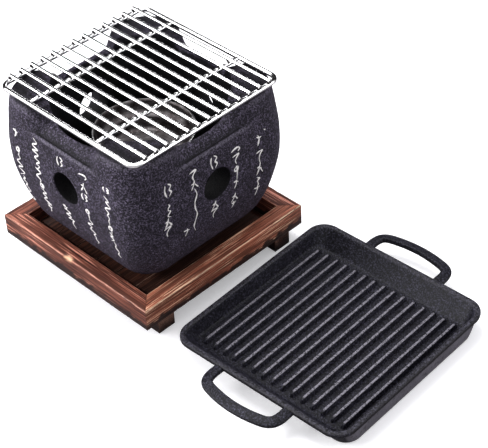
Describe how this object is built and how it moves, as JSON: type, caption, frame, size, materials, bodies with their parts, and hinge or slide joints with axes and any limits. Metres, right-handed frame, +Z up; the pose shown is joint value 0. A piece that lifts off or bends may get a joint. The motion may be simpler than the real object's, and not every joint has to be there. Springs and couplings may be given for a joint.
{
  "type": "table-top hibachi grill",
  "caption": "Square bulging cast stove on a low slatted wooden tray, with a lift-off wire rack, an inner steel fire bowl and a separate ribbed griddle with two loop handles.",
  "frame": {"origin": "on the table, at the centre of the whole set's footprint", "axes": "+X from the stove towards the griddle, +Y along the griddle's ribs away from the front rail, +Z up"},
  "size_m": [0.374, 0.2402, 0.1726],
  "materials": {
    "tray_wood": "charred and waxed softwood with raised grain",
    "screw_steel": "zinc plated",
    "body_casting": "sand-cast aluminium alloy with a matt black coating with off-white brush marks",
    "bowl_steel": "spun stainless steel",
    "stand_wire": "heat-dulled steel wire",
    "rack_wire": "polished plated wire",
    "griddle_casting": "cast aluminium alloy with a fine-grained matt black non-stick coating"
  },
  "bodies": {
    "tray": {"tray_rail_front": "tray_wood", "tray_rail_right": "tray_wood", "tray_rail_back": "tray_wood", "tray_rail_left": "tray_wood", "tray_skid_front": "tray_wood", "tray_skid_back": "tray_wood", "tray_plank_1": "tray_wood", "tray_plank_2": "tray_wood", "tray_plank_3": "tray_wood", "tray_plank_4": "tray_wood", "tray_plank_5": "tray_wood", "tray_plank_6": "tray_wood", "skid_screw_1": "screw_steel", "skid_screw_2": "screw_steel", "skid_screw_3": "screw_steel", "skid_screw_4": "screw_steel"},
    "stove": {"stove_body": "body_casting", "bowl_stand_ring": "stand_wire", "bowl_stand_leg_1": "stand_wire", "bowl_stand_leg_2": "stand_wire", "bowl_stand_leg_3": "stand_wire", "bowl_stand_leg_4": "stand_wire"},
    "bowl": {"fire_bowl": "bowl_steel"},
    "rack": {"rack_frame": "rack_wire", "rack_support_1": "rack_wire", "rack_support_2": "rack_wire", "rack_bar_01": "rack_wire", "rack_bar_02": "rack_wire", "rack_bar_03": "rack_wire", "rack_bar_04": "rack_wire", "rack_bar_05": "rack_wire", "rack_bar_06": "rack_wire", "rack_bar_07": "rack_wire", "rack_bar_08": "rack_wire", "rack_bar_09": "rack_wire", "rack_bar_10": "rack_wire", "rack_bar_11": "rack_wire", "rack_bar_12": "rack_wire", "rack_bar_13": "rack_wire"},
    "griddle_pan": {"griddle": "griddle_casting"}
  },
  "joints": [
    {"name": "stove_lift", "type": "slide", "parent": "tray", "child": "stove", "axis": [0, 0, 1], "range_m": [0, 0.15]},
    {"name": "rack_lift", "type": "slide", "parent": "stove", "child": "rack", "axis": [0, 0, 1], "range_m": [0, 0.12]},
    {"name": "bowl_lift", "type": "slide", "parent": "stove", "child": "bowl", "axis": [0, 0, 1], "range_m": [0, 0.038]},
    {"name": "griddle_lift", "type": "slide", "parent": "tray", "child": "griddle_pan", "axis": [0, 0, 1], "range_m": [0, 0.15]}
  ]
}
